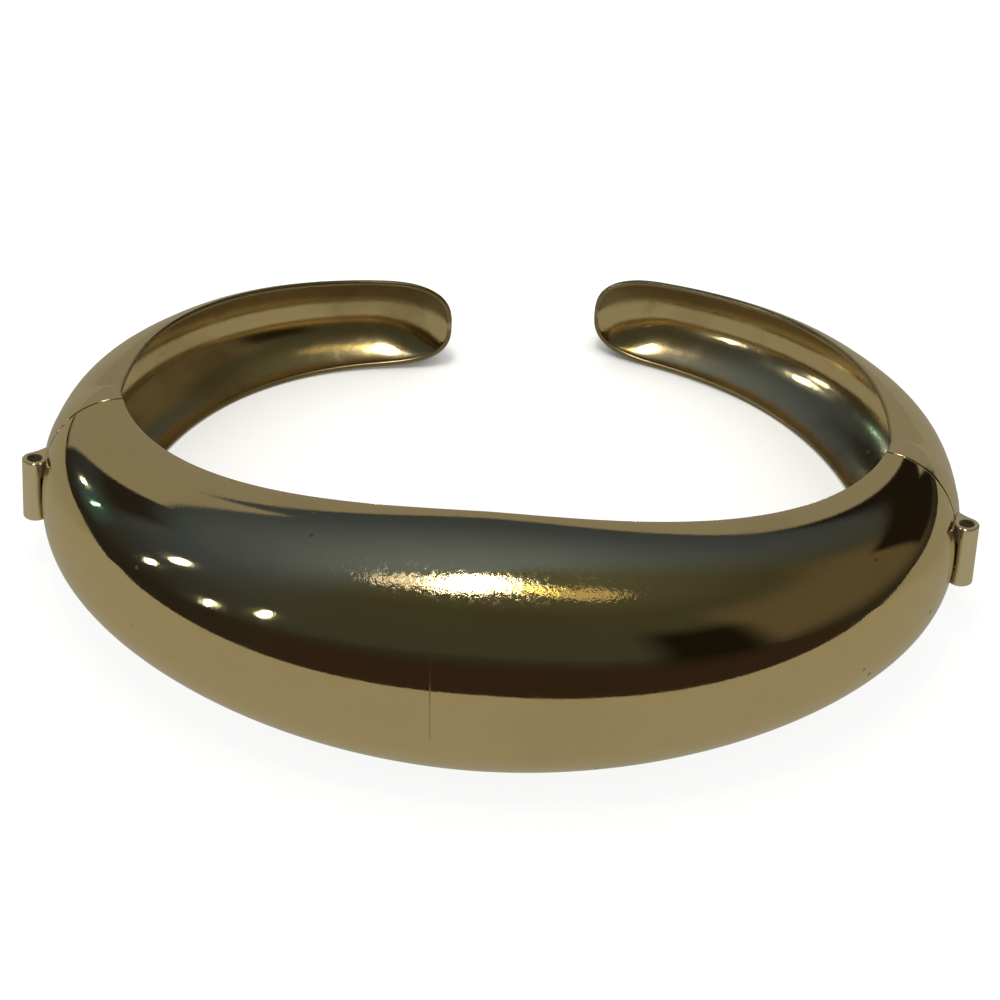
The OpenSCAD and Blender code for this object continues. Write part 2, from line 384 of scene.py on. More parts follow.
# The groove of a barrel: how near two rows lie to its ends, in degrees, how far it reaches from the
# seam, and how much further than its bottom a point still counts as in it.
GROOVE_STEP, GROOVE_LONG, GROOVE_MORE = 0.15, 1.05 * MM, 0.02 * MM


def groove_depth(z, y):
    """How far in from the hinge axis the front is hollowed for the barrel, at a place along it."""
    reach = z.barrel_d / 2 + z.barrel_gap
    return math.sqrt(max(0.0, reach * reach - y * y))


def front_mesh(z):
    """The hollow front section, with a groove for each barrel."""
    axis, away, along = hinge(z)
    start = seam_stations(z, lambda s: front_station(z, s)[0], FRONT_PLAIN)
    groove_end = z.barrel_len / 2 + z.barrel_gap
    groove_turn = math.degrees(math.asin((groove_end / (z.seam_h / 2)) ** (SECTION_ROUND / 2)))
    turns = [sign * (groove_turn + d) for d in (-GROOVE_STEP, GROOVE_STEP) for sign in (-1, 1)]
    rows = section_rows(FRONT_ROWS, turns)
    groove_share = share_at(lambda s: front_station(z, s)[0], GROOVE_LONG)
    groove_reach = z.seam_out + z.axis_out + groove_depth(z, 0) + GROOVE_MORE
    first = start[-1][0] * FRONT_NEXT
    middle = [(first + (1 - 2 * first) * i / FRONT_STEPS, 0.0, PLAIN) for i in range(FRONT_STEPS + 1)]
    end = [(1 - share, inset, kind) for share, inset, kind in reversed(start)]

    def beside_barrel(row):
        return row[0] == "outer" and not row[2] and abs(row[1]) < groove_turn

    # Points in a barrel's groove take painted shade, dark brown in the recess behind the barrel.
    def in_groove(s, row):
        barrel = axis if s > 0.5 else Vector((-axis.x, axis.y))
        near = (front_station(z, s)[0] - barrel).length < groove_reach
        return near and beside_barrel(row) and min(s, 1 - s) < groove_share

    def point(s, row, inset):
        at, out_dir, half_h, out = front_station(z, s)
        r, h = wall_point((half_h, out), (half_h - z.sheet, out - z.sheet), row, z.edge, inset)
        p = at + out_dir * r
        if beside_barrel(row):
            side = 1 if p.x > 0 else -1
            here = Vector((side * p.x, p.y)) - axis
            x, y = here.dot(away), here.dot(along)
            deep = groove_depth(z, y)
            if deep > 0 and x > -deep and y < 0:
                moved = axis + away * -deep + along * y
                p = Vector((side * moved.x, moved.y))
        return Vector((p.x, p.y, h))

    return bent_sheet(start + middle + end, rows, point, in_groove)


def arm_mesh(z, tip_x, curl):
    """A hollow arm that tapers to a rounded tip, as the right-hand one."""
    long = arm_long(z, tip_x)
    start = seam_stations(z, lambda s: arm_station(z, s, tip_x, curl, long, 0)[0], ARM_PLAIN)
    last = z.tip_round / long
    first = start[-1][0] * ARM_NEXT
    body = [(first + (1 - last - first) * i / ARM_STEPS, 0.0, PLAIN) for i in range(ARM_STEPS + 1)]
    tip = [(1 - last + last * math.sin(math.radians(90 * i / TIP_STEPS)), 0.0, PLAIN)
           for i in range(1, TIP_STEPS + 1)]

    def point(s, row, inset):
        walls = []
        thin = z.sheet + (ARM_THICK - z.sheet) * min(1.0, s / THIN_BY)
        for thick in (0.0, thin):
            station = arm_station(z, s, tip_x, curl, long, thick * TIP_RIM)
            at, away, half_h, out, rounding, deep, bend = station
            deep = deep ** TIP_SPOON if thick else deep
            walls.append((at, away, (half_h - thick) * rounding, (out - thick) * deep))
        edge = min(z.edge, thin * RIM_OF_SHEET)
        r, h = wall_point(walls[0][2:], walls[1][2:], row, edge, inset, bend)
        at, away = walls[0 if row[0] == "outer" else 1][:2]
        p = at + away * r
        return Vector((p.x, p.y, h))

    # Painted shade high on the inside, and a darker brown on the rims.
    def rims_and_painted_shade(s, row):
        if row[2]:
            return RIM_DARK
        high = eased((row[1] - HIGH_FROM) / (HIGH_FULL - HIGH_FROM))
        return HIGH_DARK * high if row[0] == "inner" else 0.0

    return bent_sheet(start + body + tip, section_rows(ARM_ROWS), point, rims_and_painted_shade)


# Hinges

# The front's eye: its length, wall and play on the pin.
EYE_LEN, EYE_WALL, EYE_PLAY = 2.2 * MM, 0.2 * MM, 0.04 * MM
# Its neck: direction, width, overlap with the eye, and how deep in the sheet it ends, as a share.
NECK_TURN, NECK_W, NECK_SUNK, NECK_DEEP = math.radians(200), 0.4 * MM, 0.06 * MM, 0.7
# The slit over the neck: its length, reach, start before the neck and sweep through the swing.
SLIT_LEN, SLIT_REACH = 2.4 * MM, 1.6 * MM
SLIT_BEFORE, SLIT_SWEEP, SLIT_STEPS = math.radians(24), math.radians(76), 6
# The barrel: its mouth, the wider hollow round the eye, and the rounding of its ends.
MOUTH_D, HOLLOW_MORE = 1.2 * MM, 0.5 * MM
BARREL_ROUND, BARREL_ARCS = 0.24 * MM, 5
# How much longer than the barrel the mouth's cut is, and how near it a face counts as bored.
MOUTH_PAST, MOUTH_MORE = 2 * MM, 0.01 * MM
# The sheet's roll, in degrees, and the web behind it: how deep and how long it is, and its sag.
ROLL_FROM, ROLL_TO, ROLL_STEP = 72, -169, -4
WEB_DEEP, WEB_LONG, WEB_STEPS = 0.5 * MM, 1.6 * MM, 8
WEB_SAG = Vector((0.03, 0.07)) * MM
# How deep in the arm's sheet the web starts, as a share.
WEB_FOOT = 0.9
# Faces of the barrel further in than this, and ahead of this, are hidden beside the front, and take
# painted shade.
HIDDEN_X, HIDDEN_Y = -0.45 * MM, 0.2 * MM
# Sides of a cutting rod and of the eye.
ROD_SIDES, EYE_SIDES = 64, 48


def raise_faces(bm, faces, far):
    """Extrudes flat faces upwards."""
    grown = bmesh.ops.extrude_face_region(bm, geom=faces)
    up = [v for v in grown["geom"] if isinstance(v, bmesh.types.BMVert)]
    bmesh.ops.translate(bm, vec=(0, 0, far), verts=up)


def barrel_mesh(z):
    """The rolled end of an arm's sheet with the web that joins it, still solid."""
    bm = bmesh.new()
    r = z.barrel_d / 2
    web_foot = (-z.axis_out - z.sheet * WEB_FOOT, z.seam_gap / 2)
    web_end = Vector((-z.axis_out - WEB_DEEP, WEB_LONG))
    turns = [math.radians(a) for a in range(ROLL_FROM, ROLL_TO, ROLL_STEP)]
    points = [(r * math.cos(a), r * math.sin(a)) for a in turns]
    points.append(web_foot)
    top = Vector(points[0])
    shares = [k / WEB_STEPS for k in range(WEB_STEPS)]
    points += [tuple(web_end.lerp(top, k) - WEB_SAG * math.sin(math.pi * k)) for k in shares]
    verts = [bm.verts.new((x, y, -z.barrel_len / 2)) for x, y in points]
    raise_faces(bm, [bm.faces.new(verts)], z.barrel_len)
    ends = [e for e in bm.edges if abs(e.verts[0].co.z - e.verts[1].co.z) < SLIVER]
    bmesh.ops.bevel(bm, geom=ends, offset=BARREL_ROUND, offset_type="OFFSET", segments=BARREL_ARCS,
                    profile=0.5, affect="EDGES", material=-1, clamp_overlap=True)
    return bm


def rod_mesh(d, long):
    """A plain rod about the hinge axis."""
    bm = bmesh.new()
    bmesh.ops.create_cone(bm, cap_ends=True, segments=ROD_SIDES, radius1=d / 2, radius2=d / 2,
                          depth=long)
    return bm


def slit_mesh():
    """The wedge that opens the slit over the front's neck, through the whole swing."""
    bm = bmesh.new()
    low = -SLIT_LEN / 2
    verts = [bm.verts.new((0, 0, low))]
    for k in range(SLIT_STEPS + 1):
        a = NECK_TURN - SLIT_BEFORE + SLIT_SWEEP * k / SLIT_STEPS
        verts.append(bm.verts.new((SLIT_REACH * math.cos(a), SLIT_REACH * math.sin(a), low)))
    raise_faces(bm, [bm.faces.new(verts)], SLIT_LEN)
    return bm


def eye_mesh(z):
    """The front's eye, a short ring, and the neck that holds it."""
    bm = bmesh.new()
    outer, hole = z.pin_d / 2 + EYE_WALL, z.pin_d / 2 + EYE_PLAY
    for radius in (outer, hole):
        bmesh.ops.create_circle(bm, segments=EYE_SIDES, radius=radius, cap_ends=False)
    ring = bmesh.ops.bridge_loops(bm, edges=bm.edges[:])["faces"]
    raise_faces(bm, ring, EYE_LEN)
    bmesh.ops.translate(bm, vec=(0, 0, -EYE_LEN / 2), verts=bm.verts)
    start = outer - NECK_SUNK
    end = z.axis_out + z.sheet * NECK_DEEP
    move = (Matrix.Rotation(NECK_TURN, 4, "Z") @ Matrix.Translation(((start + end) / 2, 0, 0))
            @ Matrix.Diagonal((end - start, NECK_W, EYE_LEN, 1)))
    bmesh.ops.create_cube(bm, size=1, matrix=move)
    return bm


def cut_out(obj, shapes, move):
    """Takes shapes out of an object and lays what is left in its place."""
    tools = [closed_object("tool", bm) for bm in shapes]
    for tool in tools:
        mod = obj.modifiers.new("Cut", "BOOLEAN")
        mod.operation = "DIFFERENCE"
        mod.solver = "EXACT"
        mod.object = tool
    mesh = bpy.data.meshes.new_from_object(obj.evaluated_get(bpy.context.evaluated_depsgraph_get()))
    obj.modifiers.clear()
    old, obj.data = obj.data, mesh
    mesh.name = old.name
    bpy.data.meshes.remove(old)
    for tool in tools:
        bpy.data.objects.remove(tool)
    bm = bmesh.new()
    bm.from_mesh(mesh)
    if not bm.faces:
        raise RuntimeError(f"nothing is left of {obj.name}")
    for f in bm.faces:
        middle = f.calc_center_median()
        hidden = middle.x < HIDDEN_X and middle.y < HIDDEN_Y
        bored = math.hypot(middle.x, middle.y) < MOUTH_D / 2 + MOUTH_MORE
        # The bore and the faces hidden beside the front take the painted shade material.
        f.material_index = 1 if hidden or bored else 0
    bmesh.ops.remove_doubles(bm, verts=bm.verts, dist=SAME_POINT)
    bmesh.ops.transform(bm, matrix=move, verts=bm.verts)
    bmesh.ops.recalc_face_normals(bm, faces=bm.faces)
    smooth_but_sharp(bm, BARREL_SHARP)
    bm.to_mesh(mesh)
    bm.free()
    return obj


# Materials


class Wire:
    """A socket or a number in an expression of a shader."""

    def __init__(self, nodes, value):
        self.nodes = nodes
        self.value = value

    def apply(self, operation, *others):
        """A maths operation on this value and others."""
        values = [self.value] + [o.value if isinstance(o, Wire) else o for o in others]
        return self.nodes.make("ShaderNodeMath", {"operation": operation}, dict(enumerate(values)))

    def __add__(self, other):
        return self.apply("ADD", other)

    def __sub__(self, other):
        return self.apply("SUBTRACT", other)

    def __mul__(self, other):
        return self.apply("MULTIPLY", other)

    def __truediv__(self, other):
        return self.apply("DIVIDE", other)

    def __rsub__(self, other):
        return Wire(self.nodes, other).apply("SUBTRACT", self)

    __radd__ = __add__
    __rmul__ = __mul__

    def step(self, low, high):
        """0 below low and 1 above high, smooth between."""
        limits = {"Value": self, "From Min": low, "From Max": high, "To Min": 0.0, "To Max": 1.0}
        return self.nodes.make("ShaderNodeMapRange", {"interpolation_type": "SMOOTHSTEP"}, limits)

    def between(self, low, high, soft):
        """1 between two limits and 0 beyond them, smooth inside both."""
        return self.step(low, low + soft) * (1 - self.step(high - soft, high))


class Nodes:
    """The node tree of one material or world."""

    # A Mix node's colour sockets share their names with others, so they go by number.
    COLOUR_A, COLOUR_B, COLOUR_RESULT = 6, 7, 2

    def __init__(self, tree):
        self.tree = tree
        tree.nodes.clear()

    def make(self, kind, settings=None, inputs=None, output=0):
        """Makes a node, sets it up, fills or links its sockets, and returns an output or several."""
        node = self.tree.nodes.new(kind)
        for name, value in (settings or {}).items():
            if name == "stops":
                ramp = node.color_ramp.elements
                while len(ramp) < len(value):
                    ramp.new(0.5)
                for element, (place, shade) in zip(ramp, value):
                    element.position = place
                    element.color = (*shade, 1.0)
            else:
                setattr(node, name, value)
        for name, value in (inputs or {}).items():
            self.put(node.inputs[name], value)
        if isinstance(output, tuple):
            return [Wire(self, node.outputs[k]) for k in output]
        return Wire(self, node.outputs[output]) if node.outputs else node

    def put(self, socket, value):
        """Links a socket, or sets its value."""
        if isinstance(value, Wire):
            value = value.value
        if isinstance(value, bpy.types.NodeSocket):
            self.tree.links.new(value, socket)
        elif socket.type == "RGBA":
            socket.default_value = (*value, 1.0)
        else:
            socket.default_value = value

    def mix(self, factor, a, b):
        """Mixes two colours."""
        return self.make("ShaderNodeMix", {"data_type": "RGBA"},
                         {"Factor": factor, self.COLOUR_A: a, self.COLOUR_B: b}, self.COLOUR_RESULT)

    def place(self):
        """Object coordinates."""
        return self.make("ShaderNodeTexCoord", output="Object")

    def parts(self, vector):
        """The three parts of a vector."""
        return self.make("ShaderNodeSeparateXYZ", None, {0: vector}, (0, 1, 2))

    def noise(self, at, scale, detail=2.0, rough=0.5):
        """A noise pattern's value."""
        return self.make("ShaderNodeTexNoise", None,
                         {"Vector": at, "Scale": scale, "Detail": detail, "Roughness": rough})

    def mapping(self, at, scale, turn=(0, 0, 0)):
        """Coordinates scaled and turned."""
        return self.make("ShaderNodeMapping", None, {"Vector": at, "Scale": scale, "Rotation": turn})

    def bump(self, height, strength, depth):
        """A bump as deep as this where the height is 1."""
        return self.make("ShaderNodeBump", None,
                         {"Strength": strength, "Distance": depth, "Height": height})

    def surface(self, inputs):
        """The material's shader and output."""
        shader = self.make("ShaderNodeBsdfPrincipled", None, inputs)
        self.make("ShaderNodeOutputMaterial", None, {"Surface": shader})


def new_material(name):
    """A material and its empty node tree."""
    mat = bpy.data.materials.new(name)
    mat.use_nodes = True
    return mat, Nodes(mat.node_tree)


# Patterns in the brass: scale, detail and roughness of each noise.
CLOUD, FILM, WAVES = (90.0, 4.0, 0.6), (420.0, 5.0, 0.65), (55.0, 2.0, 0.4)
PATCHES, PIT_SCALE = (210.0, 1.0, 0.5), 520.0
GRIT = (2400.0, 2.0, 0.75)
# Limits between which a pattern comes up: pits by size and place, stains, and rougher spots.
PIT_SIZE, PIT_PLACE = (0.05, 0.13), (0.60, 0.66)
CLOUD_STAIN, FILM_STAIN = (0.50, 0.72), (0.55, 0.75)
FILM_ROUGH, GRIT_ROUGH = (0.45, 0.8), (0.45, 0.7)
# Strength and depth of the bump.
BRASS_BUMP, BRASS_DEPTH = 0.35, 0.012 * MM
# Scuffs run along these stretched and turned coordinates.
SWIRL = ((900.0, 2600.0, 2600.0), (0.0, 0.12, 0.3))
HAIR = ((5200.0, 700.0, 900.0), (0.2, 0.0, 0.9))
# Brown of the pits, and brown of the painted shade in the grooves and high inside the arms, also used on
# the arms' rims.
PIT_BROWN, PAINTED_SHADE_BROWN = (0.10, 0.07, 0.04), (0.16, 0.12, 0.06)
# Dark and light brown of the painted shade in a barrel's bore and beside the front.
BORE_DARK, BORE_LIGHT = (0.030, 0.012, 0.008), (0.075, 0.040, 0.022)
# The pins' darker grain colour, also painted shade in the bore, and their bump.
STEEL_DARK, STEEL_BUMP, STEEL_DEPTH = (0.03, 0.018, 0.012), 0.3, 0.01 * MM
# The worn stripe on the resting front's crown: its lower and upper limit, softness and hind limit.
STRIPE_LOW, STRIPE_HIGH, STRIPE_SOFT = 17.1 * MM, 19.4 * MM, 0.8 * MM
STRIPE_AHEAD, STRIPE_BEHIND = -24.5 * MM, -22.5 * MM
# The hairline scratch below it: how far left it starts, its lean, half width, limits and softness.
SCRATCH_LEFT, SCRATCH_LEAN = 2.8 * MM, 0.0327
SCRATCH_CORE, SCRATCH_EDGE = 0.02 * MM, 0.06 * MM
SCRATCH_LOW, SCRATCH_HIGH, SCRATCH_SOFT = 7.2 * MM, 15.0 * MM, 0.6 * MM


def crown_wear(n, at):
    """The worn stripe along the front's crown, and the hairline scratch below it."""
    x, y, up = n.parts(at)
    ahead = 1 - y.step(STRIPE_AHEAD, STRIPE_BEHIND)
    stripe = up.between(STRIPE_LOW, STRIPE_HIGH, STRIPE_SOFT) * ahead
    aside = (x + up * SCRATCH_LEAN + SCRATCH_LEFT).apply("ABSOLUTE")
    hairline = up.between(SCRATCH_LOW, SCRATCH_HIGH, SCRATCH_SOFT) * ahead
    return stripe, hairline * (1 - aside.step(SCRATCH_CORE, SCRATCH_EDGE))


def brass_material(name, finish, tarnish, worn=False):
    """Polished brass with fine scuffs, small pits, thin tarnish, duller cut edges, and painted shade in
    grooves and high inside the arms.
    """
    mat, n = new_material(name)
    at = n.place()
    cut, inside, groove = [n.make("ShaderNodeAttribute", {"attribute_name": layer}, output="Fac")
                           for layer in LAYERS]
    cloud, film, grit = n.noise(at, *CLOUD), n.noise(at, *FILM), n.noise(at, *GRIT)
    speck = n.make("ShaderNodeTexVoronoi", {"feature": "F1"}, {"Vector": at, "Scale": PIT_SCALE})
    pits = (1 - speck.step(*PIT_SIZE)) * n.noise(at, *PATCHES).step(*PIT_PLACE)
    stain = (cloud.step(*CLOUD_STAIN) * 0.7 + film.step(*FILM_STAIN) * 0.5) * tarnish
    stain = stain * (0.45 + inside * 0.75) + cut * 0.1
    colour_now = n.mix(stain, finish.brass, finish.tarnish)
    colour_now = n.mix(cut * 0.3, colour_now, finish.cut_edge)
    colour_now = n.mix(pits * 0.8, colour_now, PIT_BROWN)
    # Painted shade: dark brown in the barrels' grooves and high inside the arms, and darker on the arms'
    # rims.
    colour_now = n.mix(groove * 0.85, colour_now, PAINTED_SHADE_BROWN)
    swirl = n.noise(n.mapping(at, *SWIRL), 1.0, 3.0, 0.7)
    hair = n.noise(n.mapping(at, *HAIR), 1.0, 2.0, 0.6)
    marks = (swirl - 0.5) * 0.6 + (hair - 0.5) * 0.5
    rough = (finish.gloss + cloud * 0.03 + film.step(*FILM_ROUGH) * 0.05 + inside * 0.10
             + cut * 0.05 + pits * 0.3 + stain * 0.12 + groove * 0.3)
    height = marks * finish.scuff - pits * 1.5 + (n.noise(at, *WAVES) - 0.5) * 9.0
    height = height + inside * (grit - 0.5) * 1.8
    if worn:
        stripe, hairline = crown_wear(n, at)
        height = height + stripe * (grit - 0.5) * 4.0 - hairline
        rough = rough + stripe * grit.step(*GRIT_ROUGH) * 0.1 + hairline * 0.25
        colour_now = n.mix(hairline * 0.5, colour_now, finish.tarnish)
    bump = n.bump(height, BRASS_BUMP, BRASS_DEPTH)
    n.surface({"Base Color": colour_now, "Metallic": 1.0, "Roughness": rough, "Normal": bump})
    return mat


def bore_shade_material(name):
    """Dark brown painted shade in a barrel's bore and on its faces hidden beside the front."""
    mat, n = new_material(name)
    at = n.place()
    shade = n.mix(n.noise(at, 900.0, 3.0, 0.6), BORE_DARK, BORE_LIGHT)
    n.surface({"Base Color": shade, "Metallic": 0.6, "Roughness": 0.6})
    return mat


def steel_material(name, finish):
    """Plain drawn steel of the hinge pins, coloured dark as painted shade in the bore."""
    mat, n = new_material(name)
    at = n.place()
    grain = n.noise(n.mapping(at, (3000.0, 3000.0, 200.0)), 1.0, 3.0, 0.6)
    shade = n.mix(grain, finish.steel, STEEL_DARK)
    bump = n.bump(grain, STEEL_BUMP, STEEL_DEPTH)
    n.surface({"Base Color": shade, "Metallic": 1.0, "Roughness": 0.4 + grain * 0.2, "Normal": bump})
    return mat


# Operators


class FrontOperator(bpy.types.Operator):
    """Makes the hollow front section with the eyes of both hinges"""

    bl_idname = "bangle.front"
    bl_label = "Front section"

    def execute(self, context):
        z, finish = context.scene.bangle_sizes, context.scene.bangle_finish
        metal = brass_material("front_brass", finish, 0.35, worn=True)
        front = even_shading(closed_object("front_section", front_mesh(z), resting(z)))
        front.data.materials.append(metal)
        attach(front, "front")
        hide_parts("front_shell")
        for side, name in ((-1, "left_eye"), (1, "right_eye")):
            bm = eye_mesh(z)
            bmesh.ops.transform(bm, matrix=at_hinge(z), verts=bm.verts)
            eye = closed_object(name, bm, placed(z, side))
            for f in eye.data.polygons:
                f.use_smooth = False
            eye.data.materials.append(metal)
            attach(eye, "front")
        return {"FINISHED"}


class ArmsOperator(bpy.types.Operator):
    """Makes both tapering arms"""

    bl_idname = "bangle.arms"
    bl_label = "Arms"

    def execute(self, context):
        z, finish = context.scene.bangle_sizes, context.scene.bangle_finish
        metal = brass_material("arm_brass", finish, 0.6)
        for name, tip_x, curl in (("left_arm", z.left_tip_x, z.left_curl),
                                  ("right_arm", z.right_tip_x, z.right_curl)):
            arm = closed_object(name + "_sheet", arm_mesh(z, tip_x, curl), placed(z, ARMS[name]))
            arm.data.materials.append(metal)
            even_shading(arm)
            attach(arm, name)
            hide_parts(name)
        return {"FINISHED"}


class BarrelsOperator(bpy.types.Operator):
    """Makes the rolled barrel of each arm"""

    bl_idname = "bangle.barrels"
    bl_label = "Hinge barrels"

    def execute(self, context):
        z = context.scene.bangle_sizes
        metal = bpy.data.materials.get("arm_brass")
        if metal is None:
            raise RuntimeError("the arms come before the barrels")
        bore = bore_shade_material("bore_painted_shade")
        for name, side in ARMS.items():
            barrel = closed_object(name.replace("arm", "barrel"), barrel_mesh(z))
            mouth = rod_mesh(MOUTH_D, z.barrel_len + MOUTH_PAST)
            hollow = rod_mesh(z.pin_d + HOLLOW_MORE, SLIT_LEN)
            cut_out(barrel, [mouth, hollow, slit_mesh()], placed(z, side) @ at_hinge(z))
            barrel.data.materials.clear()
            barrel.data.materials.append(metal)
            barrel.data.materials.append(bore)
            even_shading(barrel)
            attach(barrel, name)
            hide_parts(name)
        return {"FINISHED"}


class PinsOperator(bpy.types.Operator):
    """Gives the hinge pins their steel"""

    bl_idname = "bangle.pins"
    bl_label = "Hinge pins"

    def execute(self, context):
        metal = steel_material("pin_steel", context.scene.bangle_finish)
        for name in ("left_hinge_pin", "right_hinge_pin"):
            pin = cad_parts[name]
            pin.data.materials.clear()
            pin.data.materials.append(metal)
        return {"FINISHED"}


# Stage

# Half the floor's side, in metres.
FLOOR_HALF = 3
# The floor takes shadows behind the first limit, and painted contact shadows, grey in its colour, close
# to the tips behind the second.
SHADE_FROM, SHADE_FULL, SHADE_LOW, SHADE_MORE = -4 * MM, 16 * MM, 0.1, 0.85
CONTACT_FROM, CONTACT_FULL, CONTACT_SHARE = 21 * MM, 26 * MM, 0.9
CONTACT_FAR, CONTACT_SHADOW_GREY = 4 * MM, (0.10, 0.10, 0.085)
# The pale surface that only the brass reflects: its colour, its corners, and how its near edge bends.
PALE = (0.355, 0.343, 0.280)
PALE_LOW, PALE_HIGH, PALE_PARTS = (-0.6, -0.061), (0.6, 0.9), 60
PALE_BEND, PALE_ROUND = 0.42, 30 * MM
# The camera's sensor, in millimetres, and how near it sees.
SENSOR_W, SEE_FROM = 36, 10 * MM


def pale_material(name):
    """The dull, even surface that only the brass reflects."""
    mat, n = new_material(name)
    n.surface({"Base Color": PALE, "Roughness": 1.0, "Specular IOR Level": 0.0})
    return mat


def floor_material(name, shade):
    """A white floor that takes shadows behind the bangle's middle, with painted contact shadows in its
    colour close to the tips.
    """
    mat, n = new_material(name)
    at = n.place()
    behind = n.parts(at)[1]
    open_sky = n.make("ShaderNodeAmbientOcclusion", {"samples": 8}, {"Distance": CONTACT_FAR}, "AO")
    # Painted contact shadow: the floor's colour turns grey where the bangle hides the sky, close to the
    # tips.
    painted_contact_shadow = (1 - open_sky).step(0.0, 0.6) * behind.step(CONTACT_FROM, CONTACT_FULL) * CONTACT_SHARE
    glow = n.make("ShaderNodeEmission", None, {"Color": (1.0, 1.0, 1.0), "Strength": 1.0})
    dull = n.make("ShaderNodeBsdfDiffuse", None, {"Color": n.mix(painted_contact_shadow, shade, CONTACT_SHADOW_GREY)})
    shaded = SHADE_LOW + behind.step(SHADE_FROM, SHADE_FULL) * SHADE_MORE
    mixed = n.make("ShaderNodeMixShader", None, {0: shaded, 1: glow, 2: dull})
    n.make("ShaderNodeOutputMaterial", None, {"Surface": mixed})
    return mat


def flat_piece(name, low, high, material, parts=1):
    """A flat rectangle of the stage, on the floor."""
    bm = bmesh.new()
    bmesh.ops.create_grid(bm, x_segments=parts, y_segments=1, size=0.5)
    size = Vector(high) - Vector(low)
    middle = (Vector(high) + Vector(low)) / 2
    bmesh.ops.transform(bm, matrix=Matrix.Translation((middle.x, middle.y, 0))
                        @ Matrix.Diagonal((size.x, size.y, 1, 1)), verts=bm.verts)
    obj = new_object(name, bm)
    obj.data.materials.append(material)
    return obj


# How far the lights are from the point near the bangle that they face.
LAMP_FAR, LAMP_AIM = 0.7, Vector((0, -20, 15)) * MM


def lamp(name, direction, size, power, shade):
    """An oval light in a direction from the bangle, turned to face it."""
    light = bpy.data.lights.new(name, "AREA")
    light.shape = "ELLIPSE"
    light.size, light.size_y = size
    light.energy = power
    light.color = shade
    obj = bpy.data.objects.new(name, light)
    bpy.context.scene.collection.objects.link(obj)
    obj.location = direction * LAMP_FAR + LAMP_AIM
    obj.rotation_euler = direction.to_track_quat("Z", "Y").to_euler()


def sky_direction(azimuth, elevation):
    """Direction of a place in the sky, in degrees: azimuth 0 is ahead, and grows to the right."""
    a, e = math.radians(azimuth), math.radians(elevation)
    return Vector((math.sin(a) * math.cos(e), -math.cos(a) * math.cos(e), math.sin(e)))


# Parts of the dim room that the brass reflects: azimuth and elevation of the middle, half width and
# half height, and softness, all in degrees, and the colour.
ROOM_PARTS = (
    (92, 25, 33, 19, 8, (0.110, 0.092, 0.062)),
    (47, 8, 13, 24, 6, (0.011, 0.009, 0.005)),
    (-125, 30, 14, 8, 5, (0.020, 0.019, 0.018)),
    (20, -12, 62, 14, 8, (0.034, 0.022, 0.016)),
    (-113, 13, 9, 6, 4, (0.040, 0.085, 0.105)),
    (141, 18, 23, 12, 2, (0.013, 0.010, 0.007)),
    (-144.5, -28, 12.5, 66, 1, (0.270, 0.262, 0.225)),
    (-176, -32, 20, 62, 1, (0.270, 0.262, 0.225)),
    (156, -40, 9, 58, 1.5, (0.270, 0.262, 0.225)),
    (-138, -7, 6, 9, 2, (0.022, 0.020, 0.017)),
)
# Lights of the small bright windows: watts per square metre, and colour.
WHITE, BLUE = (60, (0.93, 1.0, 0.98)), (15, (0.53, 1.0, 0.98))
# Those windows: azimuth, elevation, width, height and light.
WINDOWS = (
    (-120, 12, 0.018, 0.032, WHITE),
    (-111, 13, 0.012, 0.070, BLUE),
    (-82.5, 27, 0.045, 0.070, WHITE),
    (-83.5, 14, 0.026, 0.055, WHITE),
    (-61, 8, 0.022, 0.060, WHITE),
    (-48, 15.5, 0.028, 0.080, WHITE),
)
# The lamp over the bangle and what shines round it: azimuth, elevation, width, height, power, colour.
OVERHEAD = (
    (-16, 76, 0.09, 0.18, 1.6, (1.0, 0.98, 0.90)),
    (-17, 75, 0.17, 0.24, 0.45, (1.0, 0.98, 0.90)),
    (24, 74, 0.07, 0.10, 0.035, (1.0, 0.90, 0.28)),
    (47, 69, 0.17, 0.12, 0.022, (1.0, 0.80, 0.38)),
    (-50, 69, 0.115, 0.12, 0.030, (1.0, 0.95, 0.90)),
)
# The sky from the horizon up, as share of the way up and colour: olive to the right, blue to the left.
OLIVE_SKY = ((0.0, (0.030, 0.028, 0.020)), (0.15, (0.050, 0.056, 0.046)), (0.55, (0.055, 0.057, 0.038)),
             (0.85, (0.095, 0.104, 0.076)))
BLUE_SKY = ((0.0, (0.022, 0.020, 0.018)), (0.22, (0.036, 0.044, 0.056)), (0.45, (0.058, 0.080, 0.124)),
            (0.85, (0.145, 0.195, 0.270)))
# The azimuth in the middle of the olive side, and how far from it that ends and the blue is full.
OLIVE_MIDDLE, OLIVE_EDGE, BLUE_EDGE = 40, 70, 130
IN_DEGREES = 180 / math.pi
# What the dull floor gets from the sky in place of the dim room.
FLOOR_LIGHT = (1.04, 1.04, 1.04)


def spun(a, b, angle):
    """Two directions at right angles, turned in their plane."""
    return a * math.cos(angle) + b * math.sin(angle), b * math.cos(angle) - a * math.sin(angle)


